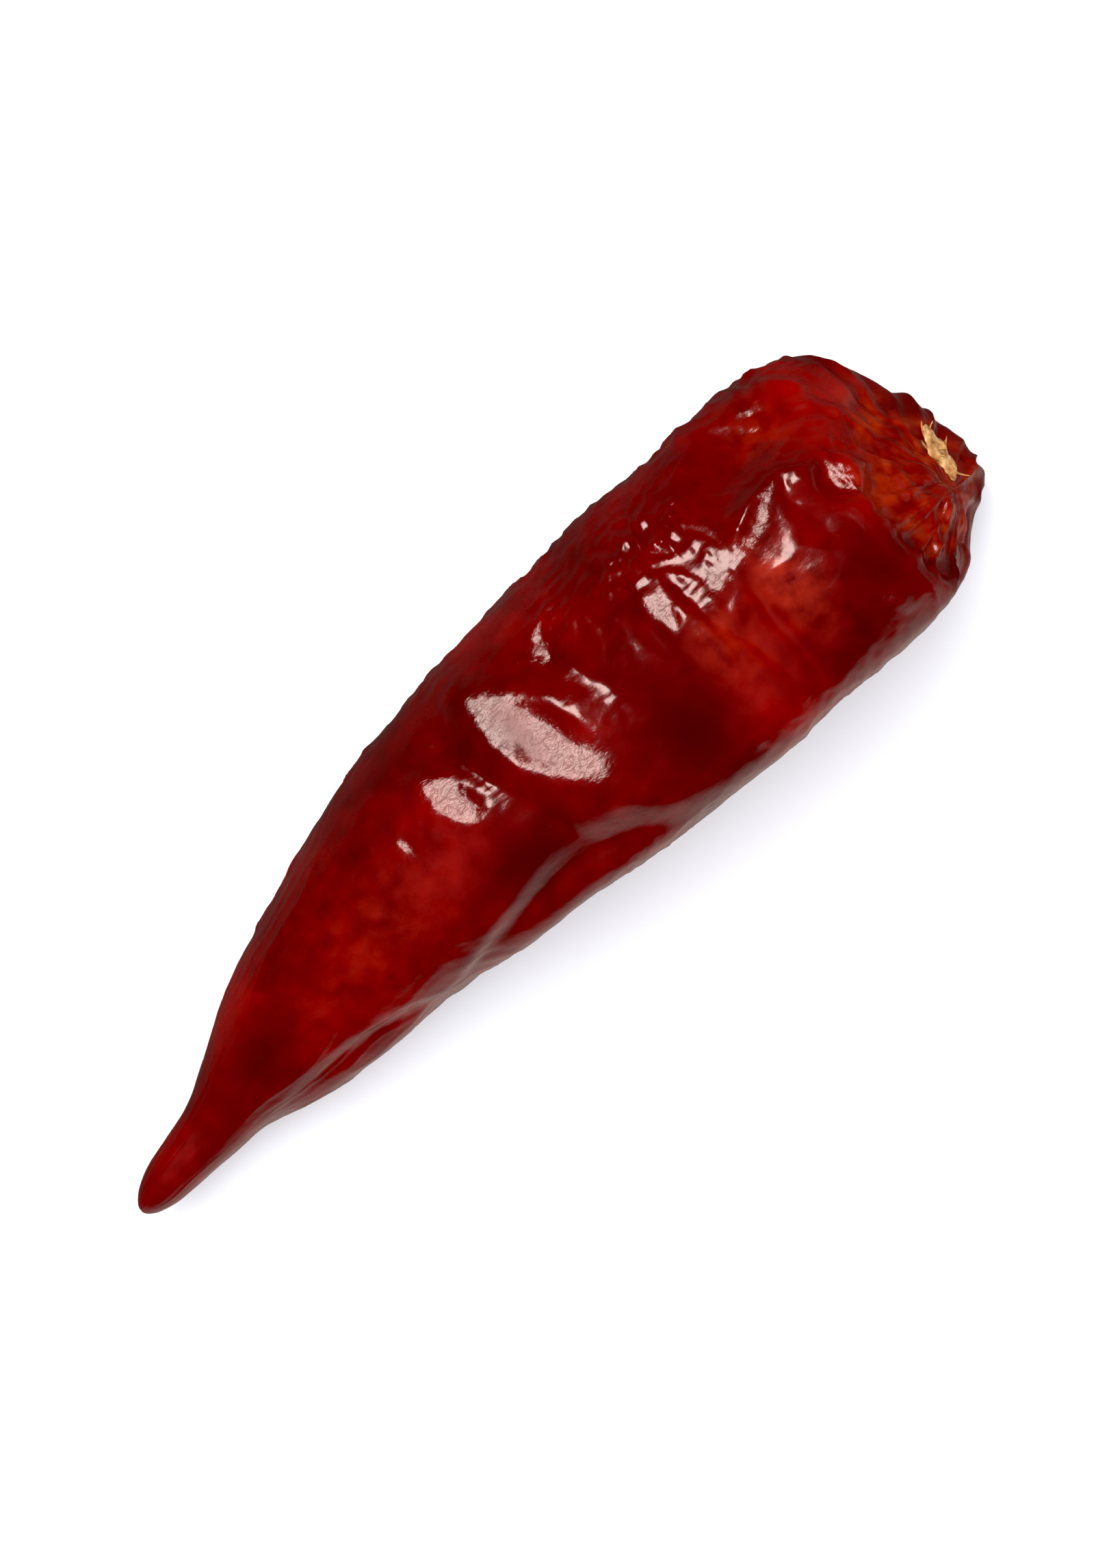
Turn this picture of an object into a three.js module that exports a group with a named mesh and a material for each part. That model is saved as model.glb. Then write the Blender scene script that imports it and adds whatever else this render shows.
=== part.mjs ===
// A small dried red chilli, lying on its side, its stem and cap already pulled off.
// Millimetres. X runs from the pointed tip (-X) to the blunt stem end (+X), Z is up, and
// the pod rests on z = 0. The origin is the bottom centre of its bounding box.
// The pod is one grown piece. A shred of dried pith lies on the scar at its stem end.
import * as THREE from 'three';
import { mergeVertices } from 'three/addons/utils/BufferGeometryUtils.js';

// ---- driving dimensions: the whole pod comes out 41 long ----
const WIDTH = 11.3;           // at the widest place, two thirds of the way from the tip
const HEIGHT = 9.5;           // at the same place
const REST_DEPTH = 0.25;      // how far the belly is pressed flat against the table
const TIP_LENGTH = 1.5;       // the rounded end of the nub at the tip
const WALL_END = 36.4;        // where the wall turns in to the stem end
const END_LEAN_UP = 0.6;      // the end face leans back towards the top, mm per mm
const END_LEAN_SIDE = 0.05;   // and stands a little less far out on the -Y side
const END_SHIFT = -2.4;       // the scar's middle lies this far to the -Y side
const LEAN_REACH = 9;         // the wall takes up that lean over this length
const CROWN_SHIFT = -0.9;     // the top of the pod leans this far to the -Y side

const AROUND = 56;            // points round one section
const TIP_RINGS = 5;
const WALL_RINGS = 44;
const END_RINGS = 14;

// ---- the wall: sections from tip to stem end ----
// Each row: place along the pod, sideways shift of its middle, then half width, underside
// and top as shares of WIDTH / 2 and HEIGHT. The nub ends at 5 and the belly is at 28.
const SECTIONS = [
  { at: 0.0, shift: -2.16, half: 0.12, under: 0.17, top: 0.30 },
  { at: 2.0, shift: -1.88, half: 0.17, under: 0.15, top: 0.33 },
  { at: 4.0, shift: -1.60, half: 0.22, under: 0.12, top: 0.36 },
  { at: 5.5, shift: -1.19, half: 0.30, under: 0.10, top: 0.41 },
  { at: 7.0, shift: -0.95, half: 0.42, under: 0.08, top: 0.48 },
  { at: 10.0, shift: -0.50, half: 0.57, under: 0.05, top: 0.60 },
  { at: 14.0, shift: 0.05, half: 0.73, under: 0.02, top: 0.75 },
  { at: 18.0, shift: 0.32, half: 0.83, under: 0.00, top: 0.86 },
  { at: 24.0, shift: 0.28, half: 0.95, under: 0.00, top: 0.97 },
  { at: 28.0, shift: 0.34, half: 1.00, under: 0.00, top: 1.00 },
  { at: 32.5, shift: 0.36, half: 1.00, under: 0.00, top: 0.99 },
  { at: 35.0, shift: 0.30, half: 0.98, under: 0.01, top: 0.97 },
  { at: WALL_END, shift: 0.25, half: 0.95, under: 0.03, top: 0.94 },
];

// ---- the turned-in stem end ----
// Share of the wall's section left, how far past the wall it stands round most of the rim,
// and the same at the notch along the top, where the rim is sharp.
const END_PROFILE = [
  { scale: 1.00, push: 0.00, notch: 1.90 },
  { scale: 0.95, push: 1.15, notch: 2.30 },
  { scale: 0.84, push: 2.10, notch: 2.20 },
  { scale: 0.70, push: 2.50, notch: 1.95 },
  { scale: 0.50, push: 2.60, notch: 2.10 },
  { scale: 0.30, push: 2.60, notch: 2.50 },
  { scale: 0.04, push: 2.60, notch: 2.60 },
];
const NOTCH = { angle: 118, wide: 48 };
// Where the rim stands further out or less far than that.
const RIM_PUSHES = [
  { angle: 262, wide: 40, out: -0.20 },
  { angle: 200, wide: 30, out: -1.20 },
  { angle: 345, wide: 40, out: -0.65 },
  { angle: 40, wide: 30, out: -0.40 },
];
// The pod is boxier at its upper -Y edge: a power added to the 2 of a plain ellipse.
const EDGE = { angle: 142, wide: 45, power: 0.9, from: 12, to: 22 };

// ---- relief of the dried skin ----
// Hollows in the sides and belly, placed by their distance from the tip and their angle
// round the pod: 0 is +Y, 90 the top, 180 is -Y and 270 the belly.
const HOLLOWS = [
  { at: 31.0, angle: 176, long: 1.3, wide: 22, depth: 0.30 },
  { at: 31.0, angle: 184, long: 4.0, wide: 30, depth: 0.28 },
  { at: 19.5, angle: 190, long: 4.5, wide: 30, depth: 0.48 },
  { at: 11.5, angle: 190, long: 3.0, wide: 25, depth: 0.20 },
  { at: 12.0, angle: 15, long: 3.0, wide: 22, depth: 0.20 },
  { at: 26.0, angle: 15, long: 2.0, wide: 20, depth: 0.20 },
  { at: 21.0, angle: 325, long: 2.4, wide: 26, depth: 0.45 },
  { at: 31.0, angle: 345, long: 2.2, wide: 24, depth: 0.50 },
  { at: 26.5, angle: 215, long: 2.0, wide: 24, depth: 0.35 },
  { at: 15.0, angle: 225, long: 1.8, wide: 24, depth: 0.30 },
];
// The rest is placed as seen from above, by distance from the tip and y.
// Swellings, and dents where the height is below 0: half length along the pod, half breadth.
const SWELLINGS = [
  { at: 21.8, y: 1.2, long: 1.8, wide: 4.0, height: 0.32 },
  { at: 28.7, y: 0.4, long: 1.6, wide: 3.2, height: 0.30 },
  { at: 33.6, y: -1.7, long: 1.6, wide: 2.4, height: 0.40 },
  { at: 33.6, y: 3.5, long: 1.6, wide: 0.9, height: -0.25 },
  { at: 26.6, y: -3.6, long: 1.3, wide: 1.3, height: -0.25 },
  { at: 38.2, y: -1.9, long: 0.9, wide: 1.6, height: 0.30 },
];
// Folds, and creases where the height is below 0, each along a line of [distance, y].
const FOLDS = [
  { height: -0.30, wide: 0.8, line: [[19.0, 4.2], [19.5, 2.0], [20.1, -0.2], [20.8, -2.2]] },
  { height: -0.45, wide: 1.4, line: [[23.6, 4.6], [24.6, 2.2], [25.0, 0.4], [25.2, -1.2]] },
  { height: -0.30, wide: 0.8, line: [[31.5, 0.6], [31.2, -1.0], [31.2, -3.0], [31.0, -4.6]] },
  { height: 0.30, wide: 0.7, line: [[31.3, 0.8], [32.3, 1.6], [34.5, 2.3], [36.3, 0.7]] },
];
// The long crease down the -Y side, with a ledge of skin below it.
const CREASE = {
  line: [[6, -2.95], [10, -2.95], [13.7, -3.9], [17.5, -3.45], [20, -3.45], [22, -3.95], [26, -5.3]],
  wide: 0.8,
  depths: [0.05, 0.20, 0.15, 0.34, 0.52, 0.52, 0.10],
};
// Puckers round the stem end, where the wall was gathered under the cap: waves of uneven
// length, each with its count round the pod, the angle of one crest and its height.
const PUCKERS = [
  { count: 3, crest: 100, height: 0.20 },
  { count: 5, crest: 60, height: 0.20 },
  { count: 8, crest: 15, height: 0.12 },
];
const PUCKER_REACH = 3.5;

/** 1 at 0, falling smoothly to 0 on both sides. A power of 4 gives it a flat top. */
const bell = (x, power = 2) => Math.exp(-(Math.abs(x) ** power));

/** 0 below one edge, 1 above the other, smooth between. */
const fade = (x, low, high) => THREE.MathUtils.smoothstep(x, low, high);

/** Signed smallest difference between two angles, in degrees. */
function angleBetween(a, b) {
  return THREE.MathUtils.euclideanModulo(a - b + 180, 360) - 180;
}

/** Hollows and puckers: height of the skin above the smooth section. */
function sideRelief(distance, angle) {
  let height = 0;
  for (const h of HOLLOWS) {
    height -= h.depth * bell((distance - h.at) / h.long) * bell(angleBetween(angle, h.angle) / h.wide);
  }
  const gather = fade(distance, WALL_END - PUCKER_REACH, WALL_END);
  for (const p of PUCKERS) {
    height += gather * p.height * Math.cos(THREE.MathUtils.degToRad((angle - p.crest) * p.count));
  }
  return height;
}

/** How far a point seen from above lies from a line, and the place on the line nearest it,
 * counted in points of the line. */
function nearestOnLine(x, y, line) {
  let best = { away: Infinity, place: 0 };
  for (let i = 0; i + 1 < line.length; i++) {
    const [ax, ay] = line[i];
    const [stepX, stepY] = [line[i + 1][0] - ax, line[i + 1][1] - ay];
    const along = ((x - ax) * stepX + (y - ay) * stepY) / (stepX ** 2 + stepY ** 2);
    const t = THREE.MathUtils.clamp(along, 0, 1);
    const away = Math.hypot(x - ax - t * stepX, y - ay - t * stepY);
    if (away < best.away) best = { away, place: i + t };
  }
  return best;
}

/** Swellings, folds and the long crease: height at a place seen from above. */
function upperRelief(x, y) {
  let height = 0;
  for (const s of SWELLINGS) {
    height += s.height * bell(Math.hypot((x - s.at) / s.long, (y - s.y) / s.wide));
  }
  for (const f of FOLDS) {
    height += f.height * bell(nearestOnLine(x, y, f.line).away / f.wide);
  }
  const { away, place } = nearestOnLine(x, y, CREASE.line);
  const before = Math.floor(place);
  const after = Math.min(before + 1, CREASE.depths.length - 1);
  const depth = THREE.MathUtils.lerp(CREASE.depths[before], CREASE.depths[after], place - before);
  return height - depth * bell(away / CREASE.wide);
}

/** A smooth curve through rows of numbers, read at any place. */
function makeCurve(places, rows) {
  return new THREE.CubicInterpolant(places, rows.flat(), rows[0].length);
}

const wallCurve = makeCurve(
  SECTIONS.map((row) => row.at),
  SECTIONS.map((row) => [row.shift, row.half, row.under, row.top]),
);
const endCurve = makeCurve(
  END_PROFILE.map((row, i) => i),
  END_PROFILE.map((row) => [row.scale, row.push, row.notch]),
);

/** The smooth section at a distance from the tip: its middle and its half sizes, y then z. */
function sectionAt(distance) {
  const [shift, half, under, top] = wallCurve.evaluate(distance);
  const low = under * HEIGHT - REST_DEPTH;
  const high = top * HEIGHT;
  return {
    middle: new THREE.Vector2(shift, (low + high) / 2),
    half: new THREE.Vector2(half * WIDTH / 2, (high - low) / 2),
  };
}

/** How far the end face stands past a ring at an angle round it. */
function pushAt(ring, angle) {
  if (ring.distance <= TIP_LENGTH) return 0;
  const atEnd = fade(ring.distance, WALL_END - LEAN_REACH, WALL_END);
  const notchPush = ring.scale < 1 ? ring.notch : END_PROFILE[0].notch * atEnd;
  const notch = bell(angleBetween(angle, NOTCH.angle) / NOTCH.wide, 4);
  let push = THREE.MathUtils.lerp(ring.push, notchPush, notch);
  for (const p of RIM_PUSHES) {
    push += p.out * atEnd * fade(ring.scale, 0.2, 0.6) * bell(angleBetween(angle, p.angle) / p.wide);
  }
  return push;
}

/** One point of the skin, lifted off the smooth form. */
function liftedPoint(ring, angle, lift) {
  const { middle, half } = sectionAt(ring.distance);
  if (ring.distance > TIP_LENGTH) middle.x += END_SHIFT * (1 - ring.scale);
  const turn = THREE.MathUtils.degToRad(angle);
  const [across, up] = [Math.cos(turn), Math.sin(turn)];
  const comeIn = fade(ring.distance, EDGE.from, EDGE.to);
  const power = 2 + EDGE.power * comeIn * bell(angleBetween(angle, EDGE.angle) / EDGE.wide);
  const boxy = (Math.abs(across) ** power + Math.abs(up) ** power) ** (-1 / power);
  const crown = CROWN_SHIFT * comeIn * ring.scale * fade(up, 0, 1);
  const y = middle.x + ring.scale * (half.x * boxy + lift) * across + crown;
  const z = middle.y + ring.scale * (half.y * boxy + lift) * up;
  const lean = END_LEAN_UP * (middle.y - z) + END_LEAN_SIDE * (y - middle.x);
  const x = ring.distance + pushAt(ring, angle)
    + fade(ring.distance, WALL_END - LEAN_REACH, WALL_END) * lean;
  return new THREE.Vector3(x, y, Math.max(0, z));
}

/** One point of the skin with all its relief, which is fainter where the pod is thin. */
function skinPoint(ring, angle) {
  const { half } = sectionAt(ring.distance);
  const small = Math.min(1, (half.x + half.y) / 2 / 3);
  const side = sideRelief(ring.distance, angle) * small;
  const plain = liftedPoint(ring, angle, side);
  const upper = fade(Math.sin(THREE.MathUtils.degToRad(angle)), -0.3, 0.1);
  return liftedPoint(ring, angle, side + upper * small * upperRelief(plain.x, plain.y));
}

/** The rings of the pod from the tip to the middle of the scar. */
function makeRings() {
  const rings = [];
  for (let i = 1; i <= TIP_RINGS; i++) {
    const turn = (i / TIP_RINGS) * Math.PI / 2;
    rings.push({ distance: TIP_LENGTH * (1 - Math.cos(turn)), scale: Math.sin(turn), push: 0, notch: 0 });
  }
  for (let i = 1; i <= WALL_RINGS; i++) {
    const distance = TIP_LENGTH + (WALL_END - TIP_LENGTH) * i / WALL_RINGS;
    rings.push({ distance, scale: 1, push: 0, notch: 0 });
  }
  for (let i = 1; i <= END_RINGS; i++) {
    const [scale, push, notch] = endCurve.evaluate((END_PROFILE.length - 1) * i / END_RINGS);
    rings.push({ distance: WALL_END, scale: Math.min(scale, 0.999), push, notch });
  }
  return rings;
}

/** Closed surface over rings of points, with one point at each end. */
function loft(first, rings, last) {
  const points = [first, ...rings.flat(), last];
  const faces = [];
  const around = rings[0].length;
  const index = (ring, i) => 1 + ring * around + (i % around);
  for (let i = 0; i < around; i++) {
    faces.push(0, index(0, i + 1), index(0, i));
    for (let ring = 0; ring + 1 < rings.length; ring++) {
      const [a, b] = [index(ring, i), index(ring, i + 1)];
      const [c, d] = [index(ring + 1, i), index(ring + 1, i + 1)];
      faces.push(a, b, d, a, d, c);
    }
    faces.push(points.length - 1, index(rings.length - 1, i), index(rings.length - 1, i + 1));
  }
  const geometry = new THREE.BufferGeometry().setFromPoints(points);
  geometry.setIndex(faces);
  geometry.computeVertexNormals();
  return geometry;
}

function podGeometry() {
  const rings = makeRings();
  const points = rings.map((ring) => {
    const around = [];
    for (let i = 0; i < AROUND; i++) around.push(skinPoint(ring, 360 * i / AROUND));
    return around;
  });
  const tip = skinPoint({ distance: 0, scale: 0, push: 0, notch: 0 }, 0);
  const scar = skinPoint({ ...rings.at(-1), scale: 0 }, 0);
  return loft(tip, points, scar);
}

// ---- the shred of pith ----
const PITH = { length: 2.4, width: 1.0, thickness: 0.5, bend: 0.25 };
const PITH_PLACE = [40.0, -1.0, 4.0];
const PITH_TURN = 12;         // degrees, about Z
const PITH_LEAN = -31;        // degrees, so that it lies along the leaning end face

/** A bent flake: a ball drawn out into a sliver and curled along its length. */
function pithGeometry() {
  let geometry = new THREE.SphereGeometry(0.5, 16, 10);
  geometry.deleteAttribute('uv');
  geometry.deleteAttribute('normal');
  geometry = mergeVertices(geometry, 1e-4);
  geometry.scale(PITH.thickness, PITH.length, PITH.width);
  const place = geometry.attributes.position;
  for (let i = 0; i < place.count; i++) {
    const along = place.getY(i) / (PITH.length / 2);
    place.setX(i, place.getX(i) + PITH.bend * along * along);
  }
  geometry.computeVertexNormals();
  return geometry;
}

function material(color, roughness) {
  return new THREE.MeshStandardMaterial({ color, roughness, metalness: 0 });
}

const pod = new THREE.Mesh(podGeometry(), material(0x8c0a05, 0.25));
pod.name = 'pod';

const pith = new THREE.Mesh(pithGeometry(), material(0xd9b56a, 0.8));
pith.name = 'pith_shred';
pith.position.set(...PITH_PLACE);
pith.rotation.order = 'ZYX';
pith.rotation.set(0, THREE.MathUtils.degToRad(PITH_LEAN), THREE.MathUtils.degToRad(PITH_TURN));

const group = new THREE.Group();
group.add(pod, pith);
const middle = new THREE.Box3().setFromObject(group).getCenter(new THREE.Vector3());
group.position.set(-middle.x, -middle.y, 0);

export default group;
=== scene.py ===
"""A small dried red chilli lying on white paper, with its stem and cap pulled off.

The pod is a ball drawn out along the pod's own sections, with its soft hollows and its
puckered stem end. Its skin is then worked in stages: folds, creases and swellings first,
then the places that dry flat, then the fine shrink wrinkles. The shred of pith is laid on
the finished skin.
"""

import math

import bmesh
import bpy
import numpy as np
from mathutils import Matrix, Vector, noise


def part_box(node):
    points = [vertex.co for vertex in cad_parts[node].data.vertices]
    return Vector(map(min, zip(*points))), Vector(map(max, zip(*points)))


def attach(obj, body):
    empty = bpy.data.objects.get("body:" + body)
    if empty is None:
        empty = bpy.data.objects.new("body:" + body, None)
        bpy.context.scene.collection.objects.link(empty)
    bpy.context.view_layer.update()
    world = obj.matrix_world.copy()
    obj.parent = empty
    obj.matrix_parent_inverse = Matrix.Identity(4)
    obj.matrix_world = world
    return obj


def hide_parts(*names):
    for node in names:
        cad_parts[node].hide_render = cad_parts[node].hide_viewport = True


bl_info = {
    "name": "Dried Chilli",
    "version": (1, 0, 0),
    "blender": (4, 5, 0),
    "location": "3D View > Sidebar > Dried Chilli",
    "description": "Makes a small dried red chilli, a shred of its pith and a plain stage",
    "category": "Add Mesh",
}

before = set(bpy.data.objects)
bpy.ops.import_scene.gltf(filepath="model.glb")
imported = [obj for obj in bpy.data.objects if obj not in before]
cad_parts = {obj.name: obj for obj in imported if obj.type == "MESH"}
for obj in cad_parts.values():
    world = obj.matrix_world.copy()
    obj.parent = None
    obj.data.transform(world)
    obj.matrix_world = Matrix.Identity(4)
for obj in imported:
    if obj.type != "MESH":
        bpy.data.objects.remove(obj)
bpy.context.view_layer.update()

MM = 0.001
POD_LOW, POD_HIGH = (np.array(corner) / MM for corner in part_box("pod"))
PITH_LOW, PITH_HIGH = (np.array(corner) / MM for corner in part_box("pith_shred"))

# ---------------------------------------------------------------------------
# Shape of the pod. Distances are in millimetres from the tip, and angles are in degrees
# round the pod: 0 is +Y, 90 the top, 180 is -Y and 270 the belly.
# ---------------------------------------------------------------------------

AROUND = 256                  # points round one section
TIP_RINGS = 14
WALL_RINGS = 230
END_RINGS = 76
LAST_SCALE = 0.9999           # the end's sections are never quite as large as the wall's

# The folds stand a little past the plain form, so it is this much of the finished size
PLAIN_WIDTH = 0.985
PLAIN_HEIGHT = 0.983
FULL_RELIEF = 3.0             # on sections of a smaller radius than this, relief is lower
PAPER_SOFTNESS = 0.03         # how gently the belly meets the paper, in square mm

TIP_LENGTH = 1.5              # the rounded end of the nub at the tip
WALL_END = 36.4               # where the wall turns in to the stem end
END_LEAN_UP = 0.60            # the end face leans back towards the top, mm per mm
END_LEAN_SIDE = 0.05          # and stands a little less far out on the -Y side
END_SHIFT = -2.4              # the scar's middle lies this far to the -Y side
LEAN_REACH = 9.0              # the wall takes up that lean over this length
SCAR_EDGE = (0.45, 0.70)      # the scar fades out between these shares of the section

# distance, sideways shift of the middle, then half width, underside and top as shares of
# half the pod's width and of its height
SECTIONS = np.array((
    (0.0, -2.16, 0.12, 0.17, 0.30),
    (2.0, -1.88, 0.172, 0.15, 0.33),
    (4.0, -1.60, 0.225, 0.12, 0.36),
    (5.5, -1.19, 0.305, 0.10, 0.41),
    (7.0, -0.95, 0.42, 0.08, 0.48),
    (10.0, -0.50, 0.575, 0.05, 0.60),
    (14.0, 0.05, 0.73, 0.02, 0.75),
    (18.0, 0.32, 0.835, 0.00, 0.86),
    (24.0, 0.28, 0.955, 0.00, 0.97),
    (28.0, 0.34, 1.00, 0.00, 1.00),
    (32.5, 0.36, 1.00, 0.00, 0.99),
    (35.0, 0.30, 0.985, 0.01, 0.97),
    (WALL_END, 0.25, 0.95, 0.03, 0.94),
))

# The turned-in end: share of the wall's section left, how far past the wall it stands
# round most of the rim, and the same at the notch along the top, where the rim is sharp
END_PROFILE = np.array((
    (1.00, 0.00, 1.90),
    (0.95, 1.15, 2.30),
    (0.84, 2.10, 2.20),
    (0.70, 2.50, 1.95),
    (0.50, 2.60, 2.10),
    (0.30, 2.60, 2.50),
    (0.00, 2.60, 2.60),
))
NOTCH_ANGLE = 118
NOTCH_WIDE = 48

# Where the rim stands out further or less far than that: angle, reach in degrees, and mm
RIM_PUSHES = (
    (248, 26, 0.35),
    (285, 18, -0.35),
    (200, 30, -1.20),
    (345, 36, -0.80),
    (40, 30, -0.40),
)

# The pod is boxier at its upper -Y edge
EDGE_ANGLE = 142
EDGE_WIDE = 45
EDGE_POWER = 0.9              # added to the 2 of a plain ellipse
EDGE_FROM = (12.0, 22.0)      # that edge and the crown's lean come in between these distances
CROWN_SHIFT = -0.9            # the top of the pod leans this far to the -Y side, in mm

# Soft hollows in the sides and belly: distance, angle, slant in mm for each degree, reach
# along the pod in mm, reach round it in degrees, and depth in mm
HOLLOWS = (
    (31.0, 176, 0.000, 1.3, 22, 0.30),
    (31.5, 195, 0.000, 4.5, 42, 0.50),
    (20.3, 203, 0.000, 4.0, 42, 0.55),
    (11.5, 190, 0.000, 3.0, 25, 0.20),
    (12.0, 15, 0.000, 3.0, 22, 0.20),
    (26.0, 15, 0.010, 2.0, 20, 0.20),
    (21.0, 325, -0.02, 2.4, 26, 0.45),
    (31.0, 340, 0.020, 2.2, 24, 0.40),
    (26.5, 215, -0.02, 2.0, 24, 0.35),
    (15.0, 225, 0.020, 1.8, 24, 0.30),
)

# The rest is placed as seen from above, as distance from the tip and y, in mm.
# Swellings and dents: place, half length, half breadth, turn of the length in degrees from
# +Y towards the stem end, and height
SWELLINGS = (
    (18.2, 1.5, 2.2, 1.0, -24, 0.12),
    (21.8, 1.2, 4.0, 1.5, -19, 0.32),
    (28.7, 0.4, 3.2, 1.1, -8, 0.34),
    (33.6, -1.7, 2.4, 1.6, 0, 0.22),
    (33.6, 3.5, 0.9, 1.6, 0, -0.25),
    (26.6, -3.6, 1.3, 1.3, 0, -0.25),
    (38.2, -1.9, 1.6, 0.9, 10, 0.30),
    (37.2, -0.2, 0.9, 0.5, 20, -0.30),
    (38.9, 0.6, 0.7, 0.4, 50, 0.15),
)

ROUNDING = 0.03               # of the bottoms of creases and the crests of folds
FOLD_FALL = 1.4               # how fast a fold falls away to its sides
FOLD_TAPER = 0.2              # the share of its length over which each end fades
FOLD_LEAST = 0.2              # the share of its height that is left at its ends

# Folds: height (below 0 for a crease), half width in mm, and the points passed through
FOLDS = (
    (-0.36, 0.80, ((19.0, 4.2), (19.5, 2.0), (20.1, -0.2), (21.0, -3.2))),
    (-0.55, 1.70, ((23.6, 4.6), (24.6, 2.2), (25.1, 0.0), (25.7, -4.2))),
    (-0.20, 0.60, ((29.3, 2.8), (29.4, 0.4), (30.1, -1.8), (30.4, -4.2))),
    (-0.32, 0.55, ((31.5, 0.6), (31.2, -1.0), (31.2, -3.0), (31.0, -4.6))),
    (0.34, 0.38, ((31.3, 0.8), (32.3, 1.6), (33.4, 2.1), (34.5, 2.3), (35.5, 1.6), (36.3, 0.7))),
    (0.22, 0.30, ((36.3, 0.8), (36.2, -0.8), (36.2, -2.4), (36.5, -4.3))),
    (-0.12, 0.30, ((34.2, 1.6), (34.6, 0.4), (34.4, -0.9))),
    (0.20, 0.30, ((34.0, -3.0), (34.6, -3.7), (35.2, -4.3))),
    (0.22, 0.25, ((37.0, -3.9), (37.4, -3.0), (38.1, -2.4), (38.8, -2.3), (39.6, -2.9))),
    (-0.22, 0.25, ((37.9, 0.8), (38.3, -0.4), (38.2, -1.4), (39.0, -1.7))),
    (-0.18, 0.25, ((38.5, 1.6), (38.9, 0.3), (39.6, -0.8))),
)

# The long crease down the -Y side: place, and then in mm the width of the steep face above
# it, its depth, and how far the ledge below it stands out
CREASE = np.array((
    (4.4, -3.00, 0.3, 0.00, 0.00),
    (6.0, -2.95, 0.3, 0.10, 0.08),
    (8.0, -2.85, 0.3, 0.18, 0.12),
    (10.0, -2.95, 0.3, 0.20, 0.15),
    (12.0, -3.30, 0.3, 0.20, 0.18),
    (13.7, -3.90, 0.3, 0.15, 0.12),
    (15.5, -3.65, 0.4, 0.22, 0.20),
    (17.5, -3.45, 0.7, 0.34, 0.22),
    (20.0, -3.45, 1.5, 0.68, 0.12),
    (22.0, -3.95, 1.6, 0.66, 0.10),
    (24.0, -4.85, 1.1, 0.32, 0.08),
    (26.0, -5.30, 0.7, 0.12, 0.10),
    (28.0, -5.50, 0.5, 0.00, 0.00),
))
FACE_MARGIN = 0.15            # added to the width of the steep face
RETURN_WIDE = (0.4, 0.7)      # the skin comes back over this many mm, and this share of the face
LEDGE_OFF = 0.70              # the ledge's crest lies this far below the crease
LEDGE_WIDE = 0.45

# Places where the drying skin is drawn flat: place, half length, half breadth, turn of the
# length in degrees from +Y towards the stem end, and strength
FLATS = (
    (22.0, 1.2, 3.6, 1.15, -19, 1.0),
    (18.3, 1.5, 1.5, 0.75, -24, 1.0),
    (16.0, 1.25, 0.45, 0.35, -20, 0.8),
    (24.3, 3.3, 0.9, 0.45, 25, 0.9),
    (28.3, 1.5, 0.8, 0.5, -15, 0.9),
    (30.4, 1.0, 0.4, 0.7, 10, 0.9),
    (33.0, 1.6, 1.8, 0.42, 66, 1.0),
    (36.3, 0.8, 1.0, 0.85, -30, 1.0),
    (38.2, 3.4, 1.0, 0.6, -40, 0.6),
    (38.4, -2.6, 0.5, 0.3, 60, 0.9),
    (37.2, -3.3, 0.5, 0.22, 30, 0.9),
    (34.7, -3.6, 0.6, 0.22, -52, 0.9),
)
FLAT_TILT = (2.0, 17.0)       # how far those places lean to the stem end and to +Y, degrees
FLAT_EDGE = 6                 # how sharply they end
FLAT_FACING = (0.1, 0.4)      # they fade out where the skin's upward share is this low
UPPER_FACING = (-0.3, 0.1)    # and all that is placed from above fades out between these

# Puckers round the stem end: waves of uneven length, each with its count round the pod,
# the angle of one crest and its height in mm
PUCKERS = ((3, 100, 0.20), (5, 60, 0.20), (8, 15, 0.12), (13, 40, 0.06))
PUCKER_REACH = 3.5            # they come in over this length before the wall turns in, mm

# Painted light: a brighter orange red glow laid where light would shine through the skin: place,
# half length, half breadth, strength
PAINTED_GLOW_PLACES = (
    (32.3, -0.6, 1.7, 0.8, 0.75),
    (36.9, -0.8, 1.5, 0.45, 0.8),
    (38.9, 2.0, 1.2, 0.9, 0.4),
    (29.3, -0.8, 1.4, 1.0, 0.4),
    (35.2, 4.0, 0.8, 1.2, 0.4),
    (13.0, 0.0, 2.0, 3.0, 0.15),
)

# Places with few wrinkles across them: place, half length, half breadth
CALM_PLACES = (
    (24.0, 1.0, 3.5, 4.0),
)

# Closely crumpled places: place, half length, half breadth, strength
CRUMPLED_PLACES = (
    (28.8, 3.6, 1.1, 2.4, 3.2),
    (25.2, 3.7, 1.0, 1.0, 2.0),
    (35.3, 3.6, 1.4, 1.2, 1.2),
    (38.4, -1.4, 1.8, 1.2, 1.0),
)

# Painted shade, darker red laid on a few places of the skin that lie in shade: place, half
# length, half breadth, strength
PAINTED_SHADE_PLACES = (
    (7.0, -0.9, 1.6, 2.0, 0.8),
    (19.0, -1.8, 1.0, 2.6, 0.9),
    (26.3, -2.4, 2.0, 1.8, 0.9),
    (35.0, -1.2, 2.0, 0.8, 0.6),
    (33.2, -3.8, 0.8, 1.5, 0.4),
)

# Dull scuffed places: place, half length, half breadth
DULL_PLACES = (
    (21.7, 1.6, 1.3, 0.45),
    (38.4, 3.3, 1.0, 1.0),
)

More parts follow.
